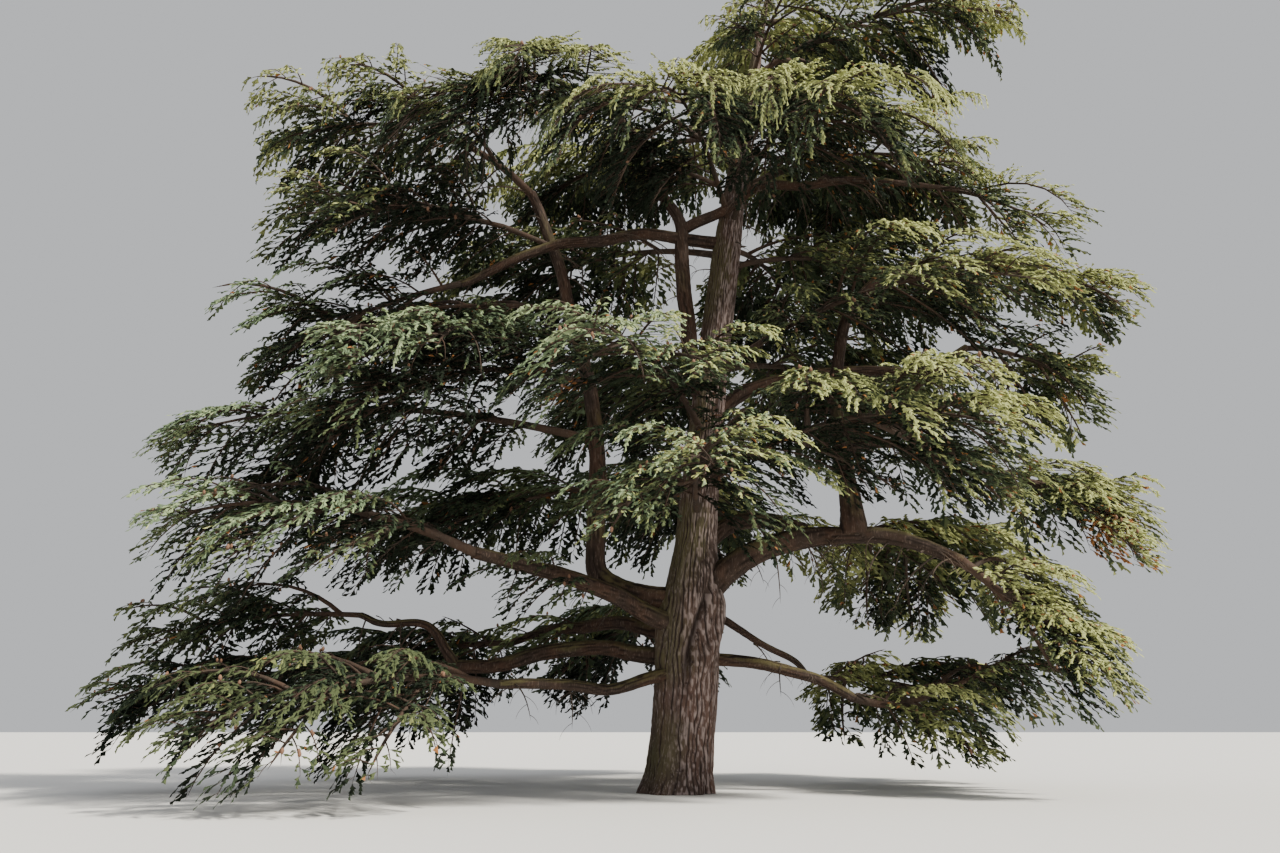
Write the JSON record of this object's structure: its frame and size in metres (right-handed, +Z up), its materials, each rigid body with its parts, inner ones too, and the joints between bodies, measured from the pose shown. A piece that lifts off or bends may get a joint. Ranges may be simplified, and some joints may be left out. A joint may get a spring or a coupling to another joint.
{
  "type": "cedar tree",
  "caption": "Large old spreading cedar: flared leaning trunk, upright leaders off arching boughs, and flat drooping layers of needle foliage.",
  "frame": {"origin": "middle of the flat cut under the trunk, at ground level", "axes": "+Z up, +X to the right and +Y away as seen from the front of the tree"},
  "size_m": [27.9135, 21.1691, 25.1671],
  "materials": {
    "trunk_bark": "rough grey-brown bark in long plates with upright cracks",
    "bough_bark": "rough red-brown bark, finer than the trunk's",
    "needles_light": "matt sunlit yellow-green needles",
    "needles_green": "matt grey-green needles",
    "needles_deep": "matt deep green needles"
  },
  "bodies": {
    "root": {"back_bough": "bough_bark", "back_foliage": "needles_deep", "back_left_bough": "bough_bark", "back_left_foliage": "needles_deep", "back_left_high_foliage": "needles_deep", "back_left_low_foliage": "needles_deep", "back_low_foliage": "needles_deep", "back_mid_foliage": "needles_deep", "back_right_high_foliage": "needles_deep", "centre_leader": "bough_bark", "centre_left_arm": "bough_bark", "centre_right_arm": "bough_bark", "centre_right_foliage": "needles_light", "crest_back_foliage": "needles_deep", "crest_foliage": "needles_light", "crest_right_foliage": "needles_light", "front_left_bough": "bough_bark", "front_left_foliage": "needles_green", "front_low_foliage": "needles_green", "front_mid_foliage": "needles_green", "front_right_foliage": "needles_green", "left_foliage": "needles_green", "left_fork": "bough_bark", "left_front_foliage": "needles_green", "left_high_foliage": "needles_light", "left_leader": "bough_bark", "left_mid_foliage": "needles_green", "low_front_bough": "bough_bark", "low_front_foliage": "needles_green", "low_left_arch": "bough_bark", "low_left_arch_foliage": "needles_deep", "low_left_bough": "bough_bark", "low_left_foliage": "needles_green", "low_right_back_bough": "bough_bark", "low_right_back_foliage": "needles_deep", "low_right_bough": "bough_bark", "low_right_foliage": "needles_green", "right_back_bough": "bough_bark", "right_back_foliage": "needles_deep", "right_back_mid_foliage": "needles_deep", "right_bough": "bough_bark", "right_crest_foliage": "needles_light", "right_far_foliage": "needles_light", "right_front_foliage": "needles_green", "right_leader": "bough_bark", "right_mid_bough": "bough_bark", "right_mid_foliage": "needles_green", "right_side_bough": "bough_bark", "right_side_foliage": "needles_green", "right_skirt_foliage": "needles_green", "top_back_left_foliage": "needles_deep", "top_back_right_foliage": "needles_deep", "top_front_foliage": "needles_light", "top_front_left_foliage": "needles_light", "top_left_foliage": "needles_light", "top_mid_foliage": "needles_light", "top_right_foliage": "needles_light", "trunk": "trunk_bark", "upper_left_bough": "bough_bark", "upper_left_foliage": "needles_light"}
  },
  "joints": []
}
